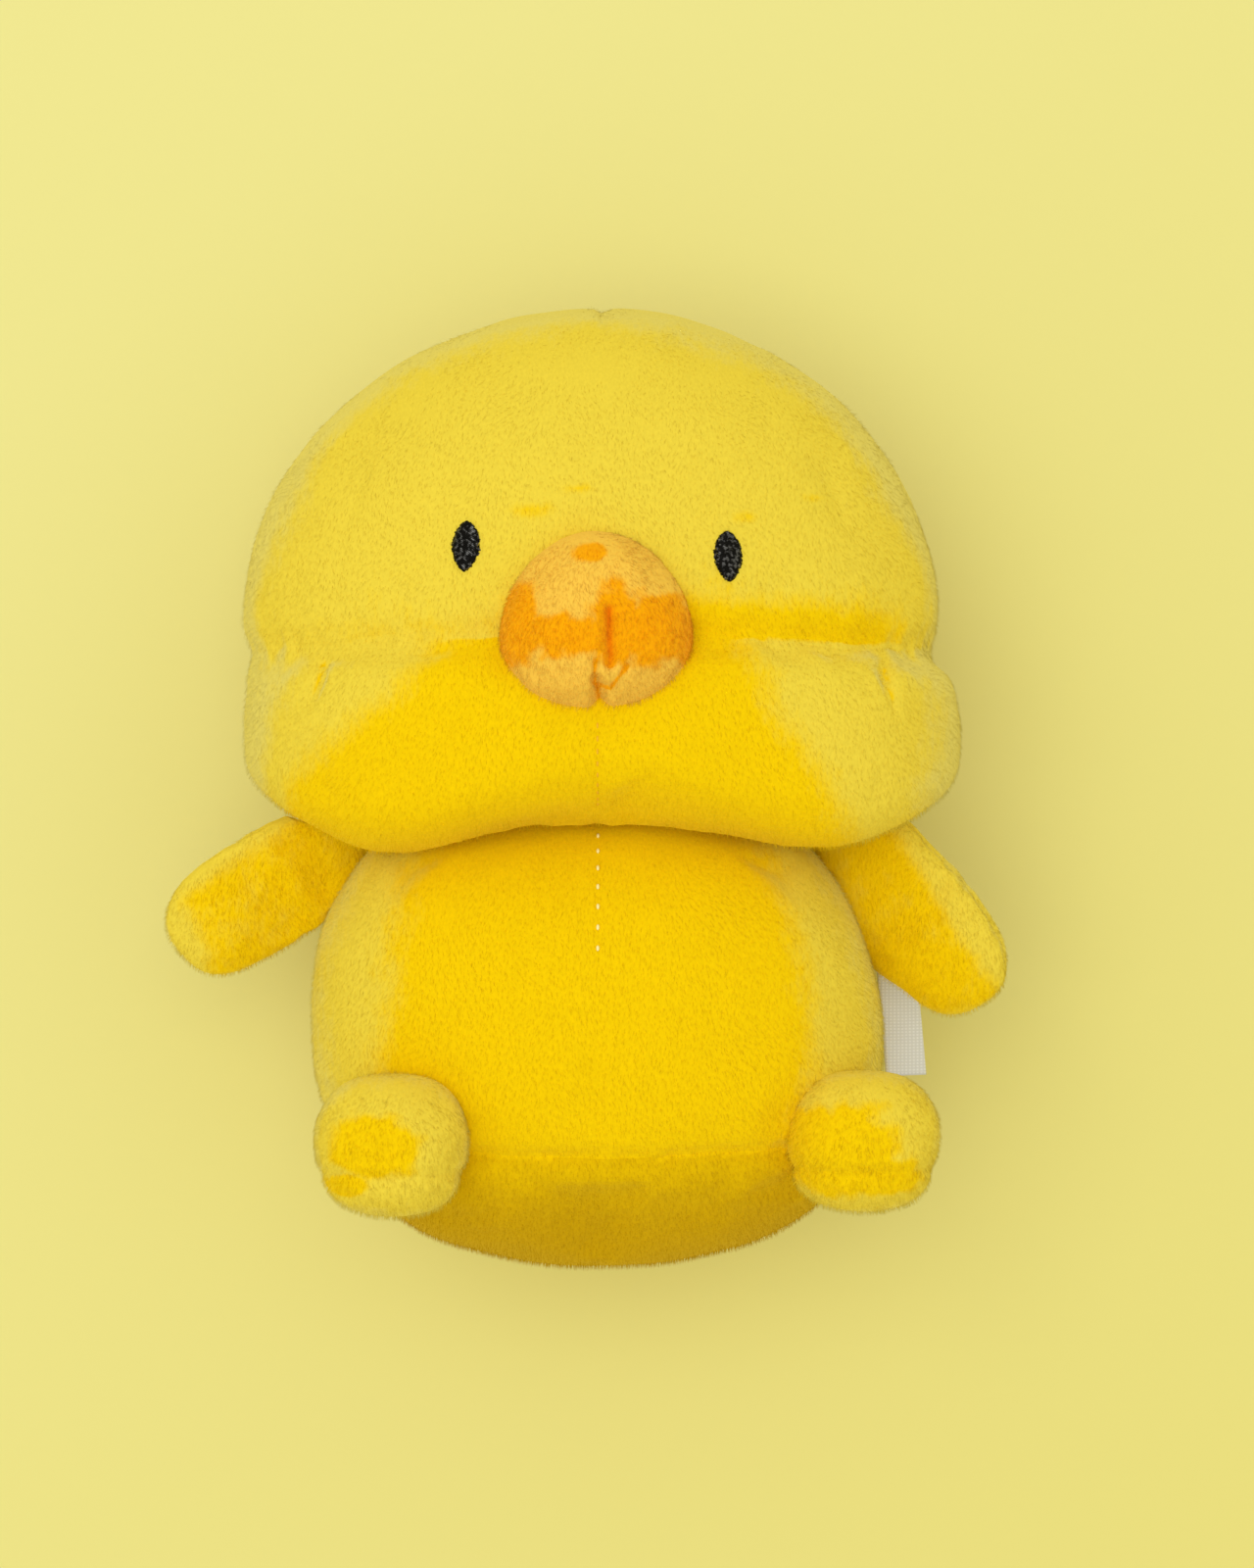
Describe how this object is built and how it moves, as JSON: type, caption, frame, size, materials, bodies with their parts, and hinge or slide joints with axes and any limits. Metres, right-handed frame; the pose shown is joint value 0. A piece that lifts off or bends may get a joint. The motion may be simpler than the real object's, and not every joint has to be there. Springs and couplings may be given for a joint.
{
  "type": "plush chick dog toy",
  "caption": "Stuffed plush chick dog toy: domed head on a band of cheeks, sewn beak, eyes, stub wings and feet, folded side label and a squeaker in the filling",
  "frame": {"origin": "middle of the flat patch on the body's back, where the toy lies on the table", "axes": "+Z out of the face, away from the table; +Y along the spine to the top of the head; +X to the right as one looks down at the face"},
  "size_m": [0.1591, 0.18, 0.111],
  "materials": {
    "body_front_left": "short velvet pile",
    "body_front_right": "short velvet pile",
    "body_back": "short velvet pile",
    "base_panel": "short velvet pile",
    "body_filling": "loose polyester fibre",
    "squeaker_bulb": "blow-moulded",
    "squeaker_plug": "moulded",
    "squeaker_reed": "film",
    "crown_front": "short velvet pile",
    "crown_back": "short velvet pile",
    "cheek_left": "short velvet pile",
    "cheek_right": "short velvet pile",
    "nape": "short velvet pile",
    "head_filling": "loose polyester fibre",
    "eye_left": "satin stitch",
    "eye_right": "satin stitch",
    "beak_cover": "short velvet pile",
    "beak_filling": "loose polyester fibre",
    "wing_left_front": "short velvet pile",
    "wing_left_back": "short velvet pile",
    "wing_left_filling": "loose polyester fibre",
    "wing_right_front": "short velvet pile",
    "wing_right_back": "short velvet pile",
    "wing_right_filling": "loose polyester fibre",
    "foot_left_top": "short velvet pile",
    "foot_left_sole": "short velvet pile",
    "foot_left_filling": "loose polyester fibre",
    "foot_right_top": "short velvet pile",
    "foot_right_sole": "short velvet pile",
    "foot_right_filling": "loose polyester fibre",
    "side_label": "woven satin tape, bare"
  },
  "bodies": {
    "body": {"body_front_left": "body_front_left", "body_front_right": "body_front_right", "body_back": "body_back", "base_panel": "base_panel", "body_filling": "body_filling", "squeaker_bulb": "squeaker_bulb", "squeaker_plug": "squeaker_plug", "squeaker_reed": "squeaker_reed"},
    "head": {"crown_front": "crown_front", "crown_back": "crown_back", "cheek_left": "cheek_left", "cheek_right": "cheek_right", "nape": "nape", "head_filling": "head_filling", "eye_left": "eye_left", "eye_right": "eye_right", "beak_cover": "beak_cover", "beak_filling": "beak_filling"},
    "wing_left": {"wing_left_front": "wing_left_front", "wing_left_back": "wing_left_back", "wing_left_filling": "wing_left_filling"},
    "wing_right": {"wing_right_front": "wing_right_front", "wing_right_back": "wing_right_back", "wing_right_filling": "wing_right_filling"},
    "foot_left": {"foot_left_top": "foot_left_top", "foot_left_sole": "foot_left_sole", "foot_left_filling": "foot_left_filling"},
    "foot_right": {"foot_right_top": "foot_right_top", "foot_right_sole": "foot_right_sole", "foot_right_filling": "foot_right_filling"},
    "label": {"side_label": "side_label"}
  },
  "joints": [
    {"name": "head_turn", "type": "hinge", "parent": "body", "child": "head", "pos_m": [0, 0.0345, 0.0455], "axis": [0, 1, 0], "range_deg": [-20, 20], "stiffness_Nm_per_rad": 0.1},
    {"name": "wing_left_flap", "type": "hinge", "parent": "body", "child": "wing_left", "pos_m": [-0.04758, 0.027, 0.0485], "axis": [0.5486, 0.8361, 0], "range_deg": [-10, 30], "stiffness_Nm_per_rad": 0.02},
    {"name": "wing_right_flap", "type": "hinge", "parent": "body", "child": "wing_right", "pos_m": [0.04758, 0.027, 0.0485], "axis": [0.5486, -0.8361, 0], "range_deg": [-10, 30], "stiffness_Nm_per_rad": 0.02},
    {"name": "foot_left_swing", "type": "hinge", "parent": "body", "child": "foot_left", "pos_m": [-0.0375, -0.0205, 0.07927], "axis": [1, 0, 0], "range_deg": [-12, 12], "stiffness_Nm_per_rad": 0.03},
    {"name": "foot_right_swing", "type": "hinge", "parent": "body", "child": "foot_right", "pos_m": [0.0465, -0.0205, 0.06844], "axis": [1, 0, 0], "range_deg": [-12, 12], "stiffness_Nm_per_rad": 0.03},
    {"name": "label_flap", "type": "hinge", "parent": "body", "child": "label", "pos_m": [0.05423, 0.002, 0.0365], "axis": [0, -1, 0], "range_deg": [-30, 20], "stiffness_Nm_per_rad": 0.0002}
  ]
}
